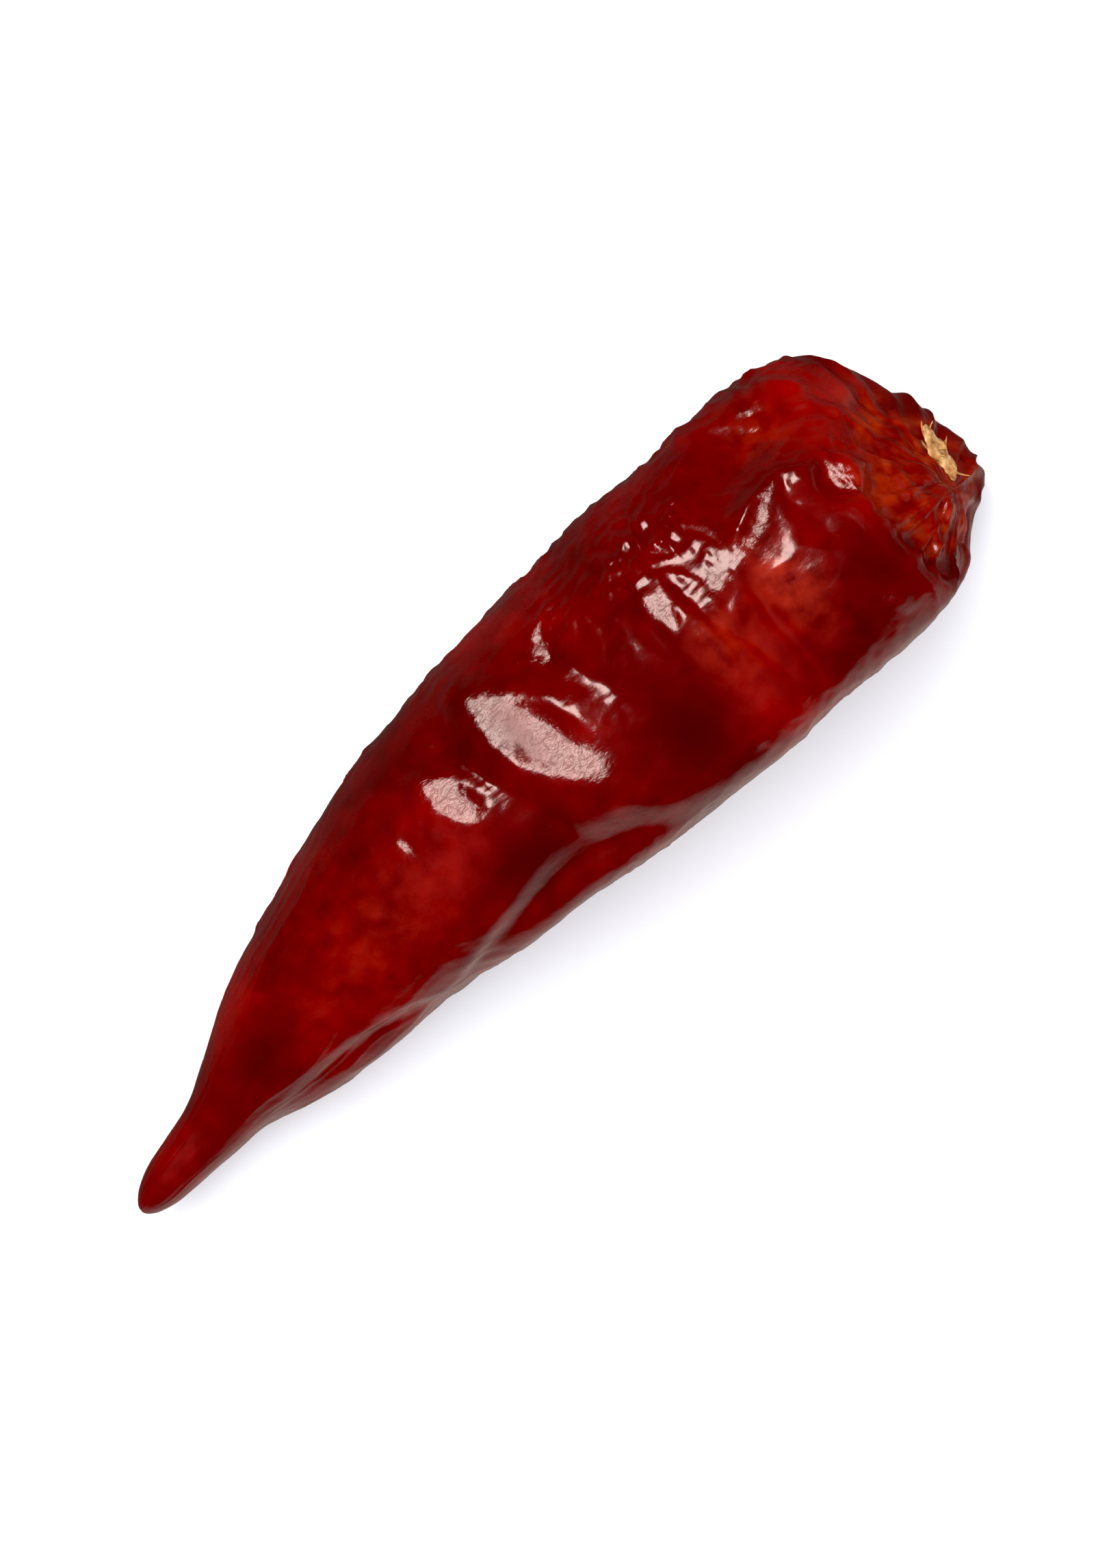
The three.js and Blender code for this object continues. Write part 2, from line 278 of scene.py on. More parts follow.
# The fine wrinkles that come with drying are lines of soft noise. For each kind: how close
# its lines stand, the size of its lumps in mm (of one, or along the pod and across it), its
# seed, how sharp its lines are and how much they wander
WRINKLE_LINES = {
    "across": (2.4, (1.7, 5.0, 5.0), 5.0, 3, 1.0),
    "network": (2.6, 2.3, 23.0, 4, 1.0),
    "along": (2.4, (9.0, 1.5, 1.5), 31.0, 3, 1.0),
    "long_folds": (2.2, (8.0, 1.9, 1.9), 83.0, 1.5, 2.0),
    "crinkle": (2.2, 0.7, 50.0, 2, 1.0),
    "lumps": (1.8, 1.5, 63.0, 1.5, 0.5),
    "gathers": (2.4, (1.3, 1.3, 3.0), 71.0, 1.5, 0.4),
}
WANDER = 0.9                  # of the lines, in mm
WANDER_LUMP = 3.5
WANDER_SEEDS = (3.1, 17.7, 41.3)
GROUP_LUMP = 4.0              # wrinkles come in groups about this many mm across
GROUP_SEED = 8.0
GROUP_EDGE = (-0.15, 0.35)    # of that soft noise, from outside a group to inside
STEM_FROM = (29.0, 36.0)      # the stem end's wrinkles come in between these distances
TIP_UNTIL = (12.0, 20.0)      # and the tip's go out between these
FLANK_FROM = (-0.35, 0.25)    # the flanks' come in as the skin turns down, on a scale of -1 to 1
UNROLLED_RADIUS = 4.6         # of the even tube that the lengthwise patterns are laid on
GATHER_DEPTH = 2.0            # how much the gathers change from the rim to the scar

# Their heights, in mm
ACROSS_HIGH = 0.07            # on the body
NETWORK_HIGH = 0.10           # near the stem end
ALONG_HIGH = 0.05             # near the tip
FLANK_NETWORK_HIGH = 0.12
FLANK_FOLDS_HIGH = 0.22
GROUPED_CRINKLE_HIGH = 0.06
CRINKLE_HIGH = 0.02           # everywhere, even where the skin is drawn flat
CRUMPLE_HIGH = 0.07
GATHERS_HIGH = 0.24
LUMPS_HIGH = 0.14             # on the scar
DRAWN_OUT = 0.8               # the share of all wrinkles that is lost where the skin is flat

# Strands of the torn pith on the scar: place along and across it, turn in degrees, length,
# width, thickness, and how far the ends curl up, in mm
PITH_STRANDS = (
    (0.00, 0.00, 4, 2.00, 0.75, 0.16, 0.10),
    (0.55, 0.12, -14, 1.20, 0.60, 0.14, 0.16),
    (-0.60, -0.10, 22, 1.10, 0.50, 0.12, 0.14),
    (0.30, -0.30, -30, 1.20, 0.09, 0.08, 0.22),
    (-0.25, 0.32, 28, 1.30, 0.08, 0.08, 0.25),
    (0.75, -0.10, 14, 1.20, 0.07, 0.07, 0.20),
    (-0.85, 0.15, -20, 1.00, 0.08, 0.07, 0.28),
    (0.05, 0.05, 70, 1.00, 0.08, 0.07, 0.15),
    (0.80, 0.25, 48, 0.80, 0.06, 0.06, 0.20),
)
STRAND_RAGGED = 0.45          # how uneven a strand is, as a share of its width
STRAND_LUMP = 0.22
STRAND_BEND = 0.15            # how far it winds to its sides, as a share of its width
STRAND_WAVES = 4.0            # how fast it winds
PITH_FACING = (0.98, -0.18, 0.95)   # the shred lies flatter than the leaning end it is on
PITH_LIFT = 0.15              # its middle stands this far off the skin, in mm

# ---------------------------------------------------------------------------
# Stage, in metres and degrees
# ---------------------------------------------------------------------------

PICTURE_SHAPE = 1624 / 2293   # width over height
NEAR_CLIP = 0.01
KEY_TILT = 34                 # of the key light, from straight above to +Y
KEY_ASIDE = 0.05              # and a little to the stem end
KEY_DISTANCE = 0.35
KEY_SIZE = (0.13, 0.14)
OVERHEAD_DISTANCE = 0.8
OVERHEAD_SIZE = (1.6, 1.6)
HAZE = 0.006                  # the stray light that is taken off the darkest tones


def bell(x, power=2):
    """1 at 0, falling smoothly to 0 on both sides. A power of 4 gives it a flat top."""
    return np.exp(-np.abs(x) ** power)


def fade(x, low, high):
    """0 below one edge, 1 above the other, smooth between."""
    share = np.clip((x - low) / (high - low), 0.0, 1.0)
    return share * share * (3.0 - 2.0 * share)


def turn(angle, other):
    """Signed smallest difference between two angles, in degrees."""
    return (angle - other + 180.0) % 360.0 - 180.0


def smooth_curve(x, places, values):
    """A smooth curve through a few chosen points, read at every x."""
    slope = np.gradient(values, places)
    i = np.clip(np.searchsorted(places, x) - 1, 0, len(places) - 2)
    span = places[i + 1] - places[i]
    t = np.clip((x - places[i]) / span, 0.0, 1.0)
    rise = values[i + 1] - values[i]
    lead = slope[i] * span - rise
    trail = rise - slope[i + 1] * span
    return values[i] + t * rise + t * (1 - t) * ((1 - t) * lead + t * trail)


def noise_over(points, lump, octaves, seed):
    """Soft noise from about -1 to 1 at each point. lump is the size of one lump in mm, or
    one size for each axis."""
    roughness, step = 0.9, 2.0
    places = points / np.broadcast_to(np.array(lump, float), (3,)) + seed
    return np.array([noise.fractal(Vector(p), roughness, step, octaves) for p in places])


def crest_lines(values, sharpness):
    """1 where soft noise crosses 0, falling to 0 on both sides: narrow winding lines."""
    return np.clip(1.0 - np.abs(values), 0.0, 1.0) ** sharpness


class Skin:
    """The plain form of the pod at every point of its skin, before the folds are worked."""

    def __init__(self, rows, angle, rest_depth):
        self.distance, self.scale, self.push, self.notch_push = rows.T
        self.angle = angle
        width = PLAIN_WIDTH * (POD_HIGH[1] - POD_LOW[1])
        height = PLAIN_HEIGHT * (POD_HIGH[2] - POD_LOW[2])
        places = SECTIONS[:, 0]
        shift, half, under, top = (
            smooth_curve(self.distance, places, SECTIONS[:, i]) for i in range(1, 5))
        low = under * height - rest_depth
        self.half_y = half * width / 2
        self.half_z = (top * height - low) / 2
        self.past_tip = self.distance > TIP_LENGTH
        self.mid_y = shift + np.where(self.past_tip, END_SHIFT * (1 - self.scale), 0.0)
        self.mid_z = low + self.half_z
        radius = (self.half_y + self.half_z) / 2
        self.small = np.minimum(1.0, radius / FULL_RELIEF)

    def place(self):
        """Points in mm."""
        a = np.radians(self.angle)
        come_in = fade(self.distance, *EDGE_FROM)
        power = 2.0 + EDGE_POWER * come_in * bell(turn(self.angle, EDGE_ANGLE) / EDGE_WIDE)
        boxy = (np.abs(np.cos(a)) ** power + np.abs(np.sin(a)) ** power) ** (-1.0 / power)
        lift = self.puckers() - self.hollows()
        y = self.mid_y + self.scale * (self.half_y * boxy + lift) * np.cos(a)
        y += CROWN_SHIFT * come_in * self.scale * fade(np.sin(a), 0.0, 1.0)
        z = self.mid_z + self.scale * (self.half_z * boxy + lift) * np.sin(a)

        to_end = fade(self.distance, WALL_END - LEAN_REACH, WALL_END)
        notch = bell(turn(self.angle, NOTCH_ANGLE) / NOTCH_WIDE, 4)
        at_wall = END_PROFILE[0, 2] * to_end
        notch_push = np.where(self.scale < 1.0, self.notch_push, at_wall)
        notch_push = np.where(self.past_tip, notch_push, 0.0)
        push = self.push + notch * (notch_push - self.push)
        at_rim = to_end * fade(self.scale, 0.2, 0.6)
        for angle, reach, out in RIM_PUSHES:
            push += out * at_rim * bell(turn(self.angle, angle) / reach)
        lean = END_LEAN_UP * (self.mid_z - z) + END_LEAN_SIDE * (y - self.mid_y)
        return np.stack((self.distance + push + to_end * lean, y, z), axis=1)

    def hollows(self):
        """Depth of the soft hollows, in mm."""
        depth = np.zeros_like(self.angle)
        for at, angle, slant, long, wide, deep in HOLLOWS:
            off = turn(self.angle, angle)
            depth += deep * bell((self.distance - at - slant * off) / long) * bell(off / wide)
        return depth * self.small

    def puckers(self):
        """Height of the waves round the stem end, in mm."""
        gather = fade(self.distance, WALL_END - PUCKER_REACH, WALL_END)
        lift = np.zeros_like(self.angle)
        for count, crest, height in PUCKERS:
            lift += height * np.cos(np.radians((self.angle - crest) * count))
        return gather * lift


def spot(points, at, across, half_length, half_breadth, turned=0.0, power=2):
    """1 in the middle of a place seen from above, falling to 0 round it."""
    dx, dy = points[:, 0] - at, points[:, 1] - across
    a = math.radians(turned)
    u = dx * math.cos(a) - dy * math.sin(a)
    v = dx * math.sin(a) + dy * math.cos(a)
    return bell(np.hypot(u / half_breadth, v / half_length), power)


def all_spots(points, places):
    """All places of one kind together, each with its own strength."""
    return sum(strength * spot(points, *place) for *place, strength in places)


def off_path(points, path):
    """How far each point lies to the side of a smooth path, seen from above, in mm, and how
    far along the path its nearest place is, from 0 to 1."""
    stops = np.array(path, float)
    steps = np.arange(len(stops), dtype=float)
    fine = np.linspace(0, len(stops) - 1, 6 * (len(stops) - 1) + 1)
    line = np.stack([smooth_curve(fine, steps, stops[:, i]) for i in (0, 1)], axis=1)
    nearest = np.full(len(points), 1e9)
    share = np.zeros(len(points))
    side = np.ones(len(points))
    for i, (start, step) in enumerate(zip(line, np.diff(line, axis=0))):
        ax, ay = points[:, 0] - start[0], points[:, 1] - start[1]
        t = np.clip((ax * step[0] + ay * step[1]) / (step @ step), 0.0, 1.0)
        away = np.hypot(ax - t * step[0], ay - t * step[1])
        closer = away < nearest
        nearest = np.where(closer, away, nearest)
        share = np.where(closer, (i + t) / (len(line) - 1), share)
        side = np.where(closer, np.sign(step[1] * ax - step[0] * ay), side)
    return nearest * side, share


def fold(points, height, half_width, path):
    """Height of a crest, or of a crease, along a path."""
    off, share = off_path(points, path)
    middle = fade(share, 0.0, FOLD_TAPER) * (1.0 - fade(share, 1.0 - FOLD_TAPER, 1.0))
    soft = np.sqrt((off / half_width) ** 2 + ROUNDING) - math.sqrt(ROUNDING)
    return height * np.exp(-FOLD_FALL * soft) * (FOLD_LEAST + (1.0 - FOLD_LEAST) * middle)


def long_crease(points):
    """Height of the long crease, with its steep face above and its ledge below."""
    off, share = off_path(points, CREASE[:, :2])
    steps = np.linspace(0, 1, len(CREASE))
    face, depth, ledge = (smooth_curve(share, steps, CREASE[:, i]) for i in (2, 3, 4))
    above = fade(off, -face - FACE_MARGIN, 0.0)
    below = 1.0 - fade(off / (RETURN_WIDE[0] + RETURN_WIDE[1] * face), 0.0, 1.0)
    crest = ledge * bell((off - LEDGE_OFF) / LEDGE_WIDE)
    return crest - depth * np.where(off < 0, above, below)


def press_flats(points, normals):
    """Draws the skin flat in places. Returns how flat each point is."""
    up_facing = fade(normals[:, 2], *FLAT_FACING)
    flat = np.zeros(len(points))
    slope_x, slope_y = (math.tan(math.radians(tilt)) for tilt in FLAT_TILT)
    for at, across, half_length, half_breadth, turned, strength in FLATS:
        window = spot(points, at, across, half_length, half_breadth, turned, FLAT_EDGE)
        window *= up_facing
        plane = -slope_x * (points[:, 0] - at) - slope_y * (points[:, 1] - across)
        level = ((points[:, 2] - plane) * window).sum() / window.sum()
        points[:, 2] += strength * window * (level + plane - points[:, 2])
        flat = np.maximum(flat, window * strength)
    return flat


def pod_rows():
    """Distance, share of the section and both pushes for each ring, from tip to scar."""
    rows = [(0.0, 0.0, 0.0, 0.0)]
    for i in range(1, TIP_RINGS + 1):
        a = math.pi / 2 * i / TIP_RINGS
        rows.append((TIP_LENGTH * (1 - math.cos(a)), math.sin(a), 0.0, 0.0))
    for i in range(1, WALL_RINGS + 1):
        rows.append((TIP_LENGTH + (WALL_END - TIP_LENGTH) * i / WALL_RINGS, 1.0, 0.0, 0.0))
    steps = np.arange(len(END_PROFILE), dtype=float)
    for i in range(1, END_RINGS + 1):
        t = np.array([i * steps[-1] / END_RINGS])
        scale, push, notch_push = (smooth_curve(t, steps, END_PROFILE[:, j])[0] for j in range(3))
        rows.append((WALL_END, min(LAST_SCALE, max(0.0, scale)), push, notch_push))
    return np.array(rows)


def read_points(bm):
    return np.array([v.co for v in bm.verts])


def write_points(bm, points):
    for vert, point in zip(bm.verts, points):
        vert.co = point


def read_normals(bm):
    bm.normal_update()
    return np.array([v.normal for v in bm.verts])


def pod_mesh(pod):
    """The pod's bmesh in mm, and a value at each point for the marks that its finish needs."""
    rows = pod_rows()
    bm = bmesh.new()
    bmesh.ops.create_uvsphere(bm, u_segments=AROUND, v_segments=len(rows) - 1, radius=1.0)
    ball = read_points(bm)
    ring = np.rint(np.arccos(np.clip(-ball[:, 2], -1, 1)) / math.pi * (len(rows) - 1)).astype(int)
    angle = np.degrees(np.arctan2(ball[:, 1], ball[:, 0])) % 360.0
    skin = Skin(rows[ring], angle, pod.rest_depth / MM)

    base = skin.place()
    write_points(bm, base)
    normals = read_normals(bm)
    shape = long_crease(base) + sum(fold(base, *settings) for settings in FOLDS)
    for at, across, half_length, half_breadth, turned, height in SWELLINGS:
        shape += height * spot(base, at, across, half_length, half_breadth, turned)
    upper = fade(normals[:, 2], *UPPER_FACING)
    base += normals * (shape * upper * skin.small)[:, None]
    write_points(bm, base)
    flat = press_flats(base, read_normals(bm))
    write_points(bm, base)
    normals = read_normals(bm)

    wrinkles = pod.wrinkle * skin.small * fine_wrinkles(skin, base, flat)
    worked = base + normals * wrinkles[:, None]
    worked[:, 2] = (worked[:, 2] + np.sqrt(worked[:, 2] ** 2 + PAPER_SOFTNESS)) / 2
    worked[:, 0] += POD_LOW[0]
    worked[:, 1] += (POD_LOW[1] + POD_HIGH[1] - base[:, 1].min() - base[:, 1].max()) / 2
    write_points(bm, worked)
    bmesh.ops.smooth_vert(
        bm, verts=bm.verts, factor=0.5, use_axis_x=True, use_axis_y=True, use_axis_z=True)

    marks = {
        # painted glow and painted shade, as marks for the skin's colour
        "thin": upper * all_spots(base, PAINTED_GLOW_PLACES),
        "deep": upper * all_spots(base, PAINTED_SHADE_PLACES),
        "dull": upper * sum(spot(base, *place) for place in DULL_PLACES),
        "drawn": flat,
        "scar": (1.0 - fade(skin.scale, *SCAR_EDGE)) * skin.past_tip,
    }
    return bm, marks


def wrinkle_lines(kind, points, warp):
    """The lines of one kind of fine wrinkle: 1 on their crests, 0 between them."""
    closeness, lump, seed, sharpness, wander = WRINKLE_LINES[kind]
    return crest_lines(closeness * noise_over(points + wander * warp, lump, 2, seed), sharpness)


def fine_wrinkles(skin, base, flat):
    """Height in mm of the small wrinkles that come with drying. flat says where the skin is
    drawn flat, and keeps only a faint crinkle."""
    a = np.radians(skin.angle)
    tube_y, tube_z = UNROLLED_RADIUS * np.cos(a), UNROLLED_RADIUS * np.sin(a)
    unrolled = np.stack((skin.distance, tube_y, tube_z), axis=1)
    warp = WANDER * np.stack(
        [noise_over(base, WANDER_LUMP, 2, seed) for seed in WANDER_SEEDS], axis=1)

    # where each kind shows
    stem = fade(skin.distance, *STEM_FROM)
    tip = 1.0 - fade(skin.distance, *TIP_UNTIL)
    body = 1.0 - tip
    flank = fade(-np.sin(a), *FLANK_FROM)
    groups = fade(noise_over(base, GROUP_LUMP, 1, GROUP_SEED), *GROUP_EDGE)
    calm = sum(spot(base, *place, power=4) for place in CALM_PLACES)
    crumple = all_spots(base, CRUMPLED_PLACES)
    end = (1.0 - fade(skin.scale, 0.80, 1.0)) * fade(skin.distance, WALL_END - 1, WALL_END)
    scar = (1.0 - fade(skin.scale, *SCAR_EDGE)) * end

    across = wrinkle_lines("across", unrolled, warp)
    network = wrinkle_lines("network", base, warp)
    along = wrinkle_lines("along", unrolled, warp)
    long_folds = wrinkle_lines("long_folds", unrolled, warp)
    crinkle = wrinkle_lines("crinkle", base, warp)
    lumps = 0.6 - wrinkle_lines("lumps", base, warp)
    # on the stem end, folds gather in towards the scar
    outward = np.stack((tube_y, tube_z, GATHER_DEPTH * skin.scale), axis=1)
    gathers = wrinkle_lines("gathers", outward, warp)

    flank_lines = FLANK_NETWORK_HIGH * network + FLANK_FOLDS_HIGH * (long_folds - 0.3)
    wrinkles = (
        ACROSS_HIGH * across * body * groups * (1 - calm)
        + NETWORK_HIGH * network * stem * (1 - end)
        + ALONG_HIGH * along * tip
        + flank_lines * flank * (1 - tip * 0.5) * (1 - end)
        + GROUPED_CRINKLE_HIGH * crinkle * groups * body
        + CRINKLE_HIGH * crinkle
        + CRUMPLE_HIGH * crinkle * crumple
        + GATHERS_HIGH * (gathers - 0.4) * end * fade(skin.scale, 0.0, 0.6)
        + LUMPS_HIGH * lumps * scar
    )
    return wrinkles * (1 - DRAWN_OUT * flat) + CRINKLE_HIGH * crinkle * flat


def pith_strand(bm, along, across, turned, length, width, thick, curl):
    """Adds one strand of torn pith lying on the plane z = 0, in mm. Its ends curl up."""
    made = bmesh.ops.create_uvsphere(bm, u_segments=20, v_segments=28, radius=0.5)["verts"]
    points = np.array([v.co for v in made])
    ragged = 1.0 + STRAND_RAGGED * noise_over(points + along, STRAND_LUMP, 2, 4.0 + turned)
    share = 2.0 * points[:, 2]
    winding = STRAND_BEND * width * np.sin(STRAND_WAVES * share + turned)
    x = share * length / 2
    y = points[:, 0] * width * ragged + winding
    z = points[:, 1] * thick * ragged + curl * share ** 2
    a = math.radians(turned)
    for vert, u, v, w in zip(made, x, y, z):
        vert.co = (
            along + u * math.cos(a) - v * math.sin(a),
            across + u * math.sin(a) + v * math.cos(a),
            w)


# ---------------------------------------------------------------------------
# Finishes
# ---------------------------------------------------------------------------

def linear(hex_colour):
    """An sRGB colour such as #7A0301 as linear red, green, blue and alpha."""
    channels = [int(hex_colour[i:i + 2], 16) / 255 for i in (1, 3, 5)]
    straight = [
        c / 12.92 if c <= 0.04045 else ((c + 0.055) / 1.055) ** 2.4 for c in channels]
    return (*straight, 1.0)


def node(tree, kind, settings=None, **links):
    """Adds a node. settings are its properties, or its inputs by name or number; links are
    sockets of other nodes by input name, with _ for a space."""
    made = tree.nodes.new(kind)
    for key, value in (settings or {}).items():
        if isinstance(key, int) or key in made.inputs:
            made.inputs[key].default_value = value
        else:
            setattr(made, key, value)
    for key, socket in links.items():
        name = key.replace("_", " ")
        target = made.inputs[name] if name in made.inputs else made.inputs[int(key[1:])]
        tree.links.new(socket, target)
    return made


def ramp(tree, source, stops):
    """A colour ramp with stops of place and linear colour."""
    made = node(tree, "ShaderNodeValToRGB", Fac=source)
    points = made.color_ramp.elements
    while len(points) < len(stops):
        points.new(0.5)
    for point, (place, colour) in zip(points, stops):
        point.position = place
        point.color = colour
    return made.outputs["Color"]


def blend(tree, share, below, above):
    """One colour over another. Each is a socket or a linear colour."""
    made = node(tree, "ShaderNodeMix", {"data_type": "RGBA"})
    # the colour sockets of a mix node come after those of its other data types
    for number, value in ((0, share), (6, below), (7, above)):
        if isinstance(value, tuple):
            made.inputs[number].default_value = value
        else:
            tree.links.new(value, made.inputs[number])
    return made.outputs[2]


def new_material(name):
    """An empty material, its node tree and its output node."""
    material = bpy.data.materials.new(name)
    material.use_nodes = True
    tree = material.node_tree
    tree.nodes.clear()
    output = tree.nodes.new("ShaderNodeOutputMaterial")
    return material, tree, output


def dried_chilli_skin(pod):
    """Skin of a ripe fruit dried to a glossy leather: a waxy clear cuticle over dense red
    flesh, so it has a sharp highlight and a deep colour. Painted shade makes it darker red in
    a few listed places, and a painted glow makes it brighter orange red where light would
    shine through the skin."""
    material, tree, output = new_material("dried_chilli_skin")
    place = node(tree, "ShaderNodeTexCoord").outputs["Object"]
    marks = {name: node(tree, "ShaderNodeAttribute", {"attribute_name": name}).outputs["Fac"]
             for name in ("thin", "deep", "scar", "dull", "drawn")}

    # blotches of ripeness 4 to 6 mm across, and mottling of about 0.8 mm
    blotch = node(tree, "ShaderNodeTexNoise", {"Scale": 1 / 0.005, "Detail": 3.0}, Vector=place)
    mottle = node(tree, "ShaderNodeTexNoise", {"Scale": 1 / 0.0008, "Detail": 4.0}, Vector=place)
    mixed = node(tree, "ShaderNodeMath", {"operation": "MULTIPLY_ADD", 1: 0.3},
                 _0=mottle.outputs["Fac"], _2=blotch.outputs["Fac"])
    flesh = ramp(tree, mixed.outputs[0], (
        (0.45, linear(pod.dark_colour)),
        (0.65, linear(pod.skin_colour)),
        (0.90, linear(pod.bright_colour))))

    # the painted glow is broken up by the mottling
    broken = node(tree, "ShaderNodeMapRange", {"From Min": 0.35, "From Max": 0.65},
                  Value=mottle.outputs["Fac"])
    painted_glow_share = node(tree, "ShaderNodeMath", {"operation": "MULTIPLY"},
                  _0=marks["thin"], _1=broken.outputs[0])
    # painted shade: darker red laid over the flesh on the deep places, then the painted glow
    thick = blend(tree, marks["deep"], flesh, linear(pod.painted_shade_colour))
    thin = blend(tree, painted_glow_share.outputs[0], thick, linear(pod.thin_colour))
    torn = ramp(tree, mottle.outputs["Fac"], (
        (0.3, linear("#560402")), (0.5, linear("#700D04")), (0.7, linear("#88280B"))))
    colour = blend(tree, marks["scar"], thin, torn)
    roughness = node(tree, "ShaderNodeMapRange", {"To Min": 0.20, "To Max": 0.42},
                     Value=marks["dull"])

    # the cuticle's shrink grain, drawn out along the pod: about 0.35 by 0.6 mm, and
    # strongest where the skin is drawn flat
    grain_place = node(tree, "ShaderNodeMapping", {"Scale": (0.6, 1.0, 1.0)}, Vector=place)
    grain = node(tree, "ShaderNodeTexNoise", {"Scale": 1 / 0.00035, "Detail": 4.0},
                 Vector=grain_place.outputs["Vector"])
    coarse = node(tree, "ShaderNodeMapRange", {"To Min": 0.22, "To Max": 0.90},
                  Value=marks["drawn"])
    bump = node(tree, "ShaderNodeBump", {"Distance": 0.00012},
                Height=grain.outputs["Fac"], Strength=coarse.outputs[0])
    shader = node(tree, "ShaderNodeBsdfPrincipled", {
        "IOR": 1.48, "Coat Weight": 0.4, "Coat Roughness": 0.12, "Coat IOR": 1.5},
        Base_Color=colour, Roughness=roughness.outputs[0], Normal=bump.outputs["Normal"])
    tree.links.new(shader.outputs["BSDF"], output.inputs["Surface"])
    return material


def dry_pith():
    """The white inner pith of the fruit, torn and dried to pale yellow fibre: dull, with
    fine lengthwise threads."""
    material, tree, output = new_material("dry_chilli_pith")
    place = node(tree, "ShaderNodeTexCoord").outputs["Object"]
    thread = node(tree, "ShaderNodeTexNoise", {"Scale": 1 / 0.0003, "Detail": 3.0}, Vector=place)
    colour = ramp(tree, thread.outputs["Fac"], (
        (0.3, linear("#7A4420")), (0.5, linear("#B58850")), (0.75, linear("#D8C08A"))))
    bump = node(tree, "ShaderNodeBump", {"Strength": 0.5, "Distance": 0.00005},
                Height=thread.outputs["Fac"])
    shader = node(tree, "ShaderNodeBsdfPrincipled", {"Roughness": 0.6, "IOR": 1.45},
                  Base_Color=colour, Normal=bump.outputs["Normal"])
    tree.links.new(shader.outputs["BSDF"], output.inputs["Surface"])
    return material


def white_paper(colour):
    """Plain white paper: matt, with nothing to see in it at this scale but a faint tooth."""
    material, tree, output = new_material("white_paper")
    place = node(tree, "ShaderNodeTexCoord").outputs["Object"]
    tooth = node(tree, "ShaderNodeTexNoise", {"Scale": 1 / 0.0012, "Detail": 2.0}, Vector=place)
    bump = node(tree, "ShaderNodeBump", {"Strength": 0.05, "Distance": 0.00005},
                Height=tooth.outputs["Fac"])
    shader = node(tree, "ShaderNodeBsdfPrincipled", {
        "Base Color": linear(colour), "Roughness": 0.8, "Specular IOR Level": 0.2},
        Normal=bump.outputs["Normal"])
    tree.links.new(shader.outputs["BSDF"], output.inputs["Surface"])
    return material


# ---------------------------------------------------------------------------
# Settings and operators
# ---------------------------------------------------------------------------

def finish_piece(bm, name, material, marks=None):
    """Turns a bmesh in mm into a smooth object at the origin, with its place in its mesh."""
    bmesh.ops.scale(bm, vec=(MM, MM, MM), verts=bm.verts)
    mesh = bpy.data.meshes.new(name)
    bm.to_mesh(mesh)
    bm.free()
    for mark, values in (marks or {}).items():
        layer = mesh.attributes.new(mark, "FLOAT", "POINT")
        layer.data.foreach_set("value", np.asarray(values, np.float32))
    mesh.shade_smooth()
    mesh.materials.append(material)
    piece = bpy.data.objects.new(name, mesh)
    bpy.context.scene.collection.objects.link(piece)
    return piece


class PodSettings(bpy.types.PropertyGroup):
    """Settings of the pod"""
    rest_depth: bpy.props.FloatProperty(
        name="Rest depth", description="How far the belly is pressed flat on the paper",
        default=0.25 * MM, min=0.0, unit="LENGTH")
    wrinkle: bpy.props.FloatProperty(
        name="Wrinkles", description="Height of the small wrinkles, as a share of the usual",
        default=1.0, min=0.0, subtype="FACTOR")
    skin_colour: bpy.props.StringProperty(
        name="Skin colour", description="sRGB hex colour of the skin", default="#590101")
    dark_colour: bpy.props.StringProperty(
        name="Dark colour", description="sRGB hex colour of its darker blotches",
        default="#400101")
    bright_colour: bpy.props.StringProperty(
        name="Bright colour", description="sRGB hex colour of its brighter blotches",
        default="#7A0602")
    # painted shade colour, laid on the deep places
    painted_shade_colour: bpy.props.StringProperty(
        name="Deep places", description="sRGB hex colour of its deep places", default="#380002")
    # painted glow colour, laid where light would shine through the skin
    thin_colour: bpy.props.StringProperty(
        name="Thin places", description="sRGB hex colour of its thin places", default="#962208")


class StageSettings(bpy.types.PropertyGroup):
    """Settings of the paper, the lights and the camera"""
    lens: bpy.props.FloatProperty(
        name="Lens", description="Focal length of the camera in millimetres", default=180.0)
    roll: bpy.props.FloatProperty(
        name="Roll", description="How far the pod is turned in the picture, tip down",
        default=math.radians(41.7), subtype="ANGLE")
    fill: bpy.props.FloatProperty(
        name="Fill of the frame", description="Share of the picture's width that the pod takes",
        default=0.76, subtype="FACTOR")
    floor_width: bpy.props.FloatProperty(
        name="Floor width", description="Width of the sheet that the pod lies on",
        default=1.0, unit="LENGTH")
    floor_colour: bpy.props.StringProperty(
        name="Floor colour", description="sRGB hex colour of the sheet", default="#F0F0F2")
    key_power: bpy.props.FloatProperty(
        name="Key power", description="Power of the soft box in watts", default=0.8)
    key_colour: bpy.props.StringProperty(
        name="Key colour", description="sRGB hex colour of the soft box", default="#FFE6DC")
    fill_power: bpy.props.FloatProperty(
        name="Fill power", description="Power of the wide overhead light in watts",
        default=23.0)
    fill_colour: bpy.props.StringProperty(
        name="Fill colour", description="sRGB hex colour of the wide light", default="#FAFBFF")


class CHILLI_OT_pod(bpy.types.Operator):
    """Models the pod: one grown piece, with its folds, creases and puckered stem end"""
    bl_idname = "chilli.pod"
    bl_label = "Pod"

    def execute(self, context):
        pod = context.scene.chilli_pod
        bm, marks = pod_mesh(pod)
        piece = finish_piece(bm, "pod_skin", dried_chilli_skin(pod), marks)
        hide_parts("pod")
        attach(piece, "root")
        return {"FINISHED"}


